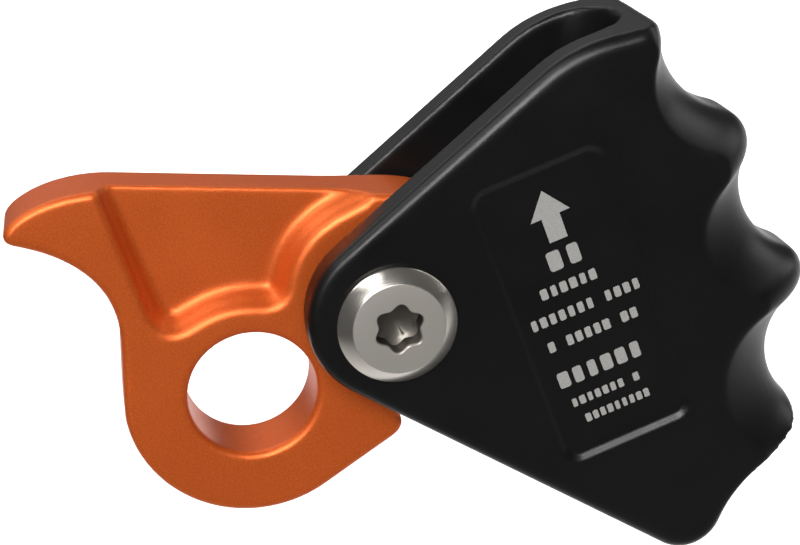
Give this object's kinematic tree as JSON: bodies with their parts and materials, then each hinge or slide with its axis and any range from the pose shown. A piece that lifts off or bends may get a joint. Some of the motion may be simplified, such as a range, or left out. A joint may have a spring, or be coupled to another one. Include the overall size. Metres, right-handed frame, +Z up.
{
  "type": "rope adjuster",
  "caption": "Hand-set rope adjuster: black scalloped channel handle with a pivoting orange cam lever that has a thumb horn and a connector eye.",
  "frame": {"origin": "on the rope's line in the middle of the channel's width, level with the cam's pivot", "axes": "+Z up along the rope, +X from the cam and its eye to the finger grip, +Y from the marked plate to the plain plate, along the pivot"},
  "size_m": [0.1077, 0.0318, 0.0893],
  "materials": {
    "handle_black": "bead-blasted, black anodised, satin",
    "cam_orange": "bead-blasted, orange anodised, satin",
    "pivot_steel": "turned and polished stainless steel",
    "bush_bronze": "plain bearing bronze",
    "washer_plastic": "matt acetal"
  },
  "bodies": {
    "handle": {"body_shell": "handle_black", "pivot_bolt": "pivot_steel", "pivot_nut": "pivot_steel", "thrust_washer_front": "washer_plastic", "thrust_washer_rear": "washer_plastic"},
    "cam": {"cam_arm": "cam_orange", "cam_bushing": "bush_bronze"}
  },
  "joints": [
    {"name": "cam_pivot", "type": "hinge", "parent": "handle", "child": "cam", "pos_m": [-0.0395, 0, 0], "axis": [0, 1, 0], "range_deg": [-20, 40]}
  ]
}
